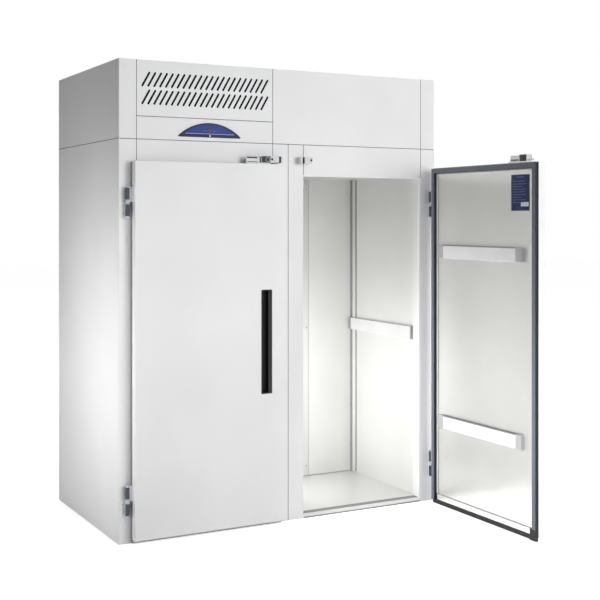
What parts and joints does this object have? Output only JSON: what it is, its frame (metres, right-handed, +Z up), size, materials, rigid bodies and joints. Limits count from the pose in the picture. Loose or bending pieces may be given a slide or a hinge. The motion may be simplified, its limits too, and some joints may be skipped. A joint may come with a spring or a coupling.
{
  "type": "roll-in refrigerator",
  "caption": "Tall two-bay roll-in refrigerator cabinet with hinged doors, edge latches, recessed pulls and a slotted machine cover on top.",
  "frame": {"origin": "on the floor at the centre of the carcass, doors left out", "axes": "+Z up, -Y towards the doors, +X to the right as one faces the doors"},
  "size_m": [1.9212, 1.858, 2.4],
  "materials": {
    "outer_steel": "fine satin sheet, nearly white in even light",
    "inner_steel": "satin lining sheet",
    "zinc_steel": "zinc-coated sheet",
    "foam": "rigid insulating foam",
    "rail_white": "satin off-white bumper rail",
    "gasket_grey": "soft blue-grey magnetic seal",
    "wiper_black": "black rubber",
    "pull_black": "black moulded plastic, satin",
    "latch_chrome": "polished plating",
    "hinge_grey": "dark grey die casting",
    "screw_steel": "bright screws",
    "display_blue": "deep blue gloss moulding",
    "window_red": "dark red display lens",
    "button_white": "white push button",
    "fin_aluminium": "mill-finish fins",
    "copper": "drawn copper tube and receiver",
    "black_enamel": "black stove enamel",
    "filter_black": "open-cell filter foam in a frame",
    "fan_black": "moulded fan blades",
    "motor_grey": "grey painted motors and arms",
    "box_grey": "light grey enclosure"
  },
  "bodies": {
    "cabinet": {"side_panel_left": "outer_steel", "side_panel_right": "outer_steel", "back_panel": "zinc_steel", "posts": "outer_steel", "headers": "outer_steel", "mullions": "outer_steel", "roof_panel": "zinc_steel", "partition": "inner_steel", "wall_insulation": "foam", "wall_liners": "inner_steel", "floor_pans": "inner_steel", "thresholds": "inner_steel", "duct_panels": "inner_steel", "ceiling_panels": "inner_steel", "corner_trims": "inner_steel", "wall_bumpers": "rail_white", "canopy_side_left": "outer_steel", "canopy_side_right": "outer_steel", "canopy_back": "zinc_steel", "grille_panel": "outer_steel", "air_filter": "filter_black", "control_fascia": "outer_steel", "plain_fascia": "outer_steel", "display_bezel": "display_blue", "display_window": "window_red", "unit_tray": "zinc_steel", "compressor": "black_enamel", "condenser_coil": "fin_aluminium", "fan_shroud": "zinc_steel", "fan_motors": "motor_grey", "pipework": "copper", "control_box": "box_grey", "evaporator_coils": "fin_aluminium", "hinge_frame_halves": "hinge_grey", "strikers": "latch_chrome", "hinge_screws": "screw_steel"},
    "left_door": {"left_door_skin": "outer_steel", "left_door_core": "foam", "left_door_liner": "inner_steel", "left_door_gasket": "gasket_grey", "left_door_pull": "pull_black", "left_door_wiper": "wiper_black", "left_door_bumpers": "rail_white", "left_hinge_door_halves": "hinge_grey", "left_latch_body": "latch_chrome"},
    "right_door": {"right_door_skin": "outer_steel", "right_door_core": "foam", "right_door_liner": "inner_steel", "right_door_gasket": "gasket_grey", "right_door_pull": "pull_black", "right_door_wiper": "wiper_black", "right_door_bumpers": "rail_white", "right_hinge_door_halves": "hinge_grey", "right_latch_body": "latch_chrome"},
    "left_latch_lever": {"left_latch_lever": "latch_chrome"},
    "right_latch_lever": {"right_latch_lever": "latch_chrome"},
    "set_button": {"set_button": "button_white"},
    "condenser_fan": {"condenser_fan": "fan_black"},
    "evaporator_fan_left": {"evaporator_fan_left": "fan_black"},
    "evaporator_fan_right": {"evaporator_fan_right": "fan_black"}
  },
  "joints": [
    {"name": "left_door_hinge", "type": "hinge", "parent": "cabinet", "child": "left_door", "pos_m": [-0.922, -0.502, 0.95], "axis": [0, 0, 1], "range_deg": [-110, 0]},
    {"name": "right_door_hinge", "type": "hinge", "parent": "cabinet", "child": "right_door", "pos_m": [0.922, -0.502, 0.95], "axis": [0, 0, 1], "range_deg": [-90, 20]},
    {"name": "left_latch", "type": "hinge", "parent": "left_door", "child": "left_latch_lever", "pos_m": [-0.2015, -0.52, 1.915], "axis": [0, 0, 1], "range_deg": [0, 35], "stiffness_Nm_per_rad": 2},
    {"name": "right_latch", "type": "hinge", "parent": "right_door", "child": "right_latch_lever", "pos_m": [0.94, -1.2225, 1.915], "axis": [0, 0, 1], "range_deg": [-35, 0], "stiffness_Nm_per_rad": 2},
    {"name": "set_button_press", "type": "slide", "parent": "cabinet", "child": "set_button", "axis": [0, 1, 0], "range_m": [0, 0.001], "stiffness_N_per_m": 400},
    {"name": "condenser_fan_spin", "type": "hinge", "parent": "cabinet", "child": "condenser_fan", "pos_m": [-0.49, -0.338, 2.171], "axis": [0, 1, 0], "continuous": true},
    {"name": "evaporator_fan_left_spin", "type": "hinge", "parent": "cabinet", "child": "evaporator_fan_left", "pos_m": [-0.46, -0.06, 1.882], "axis": [0, 0, 1], "continuous": true},
    {"name": "evaporator_fan_right_spin", "type": "hinge", "parent": "cabinet", "child": "evaporator_fan_right", "pos_m": [0.46, -0.06, 1.882], "axis": [0, 0, 1], "continuous": true}
  ]
}
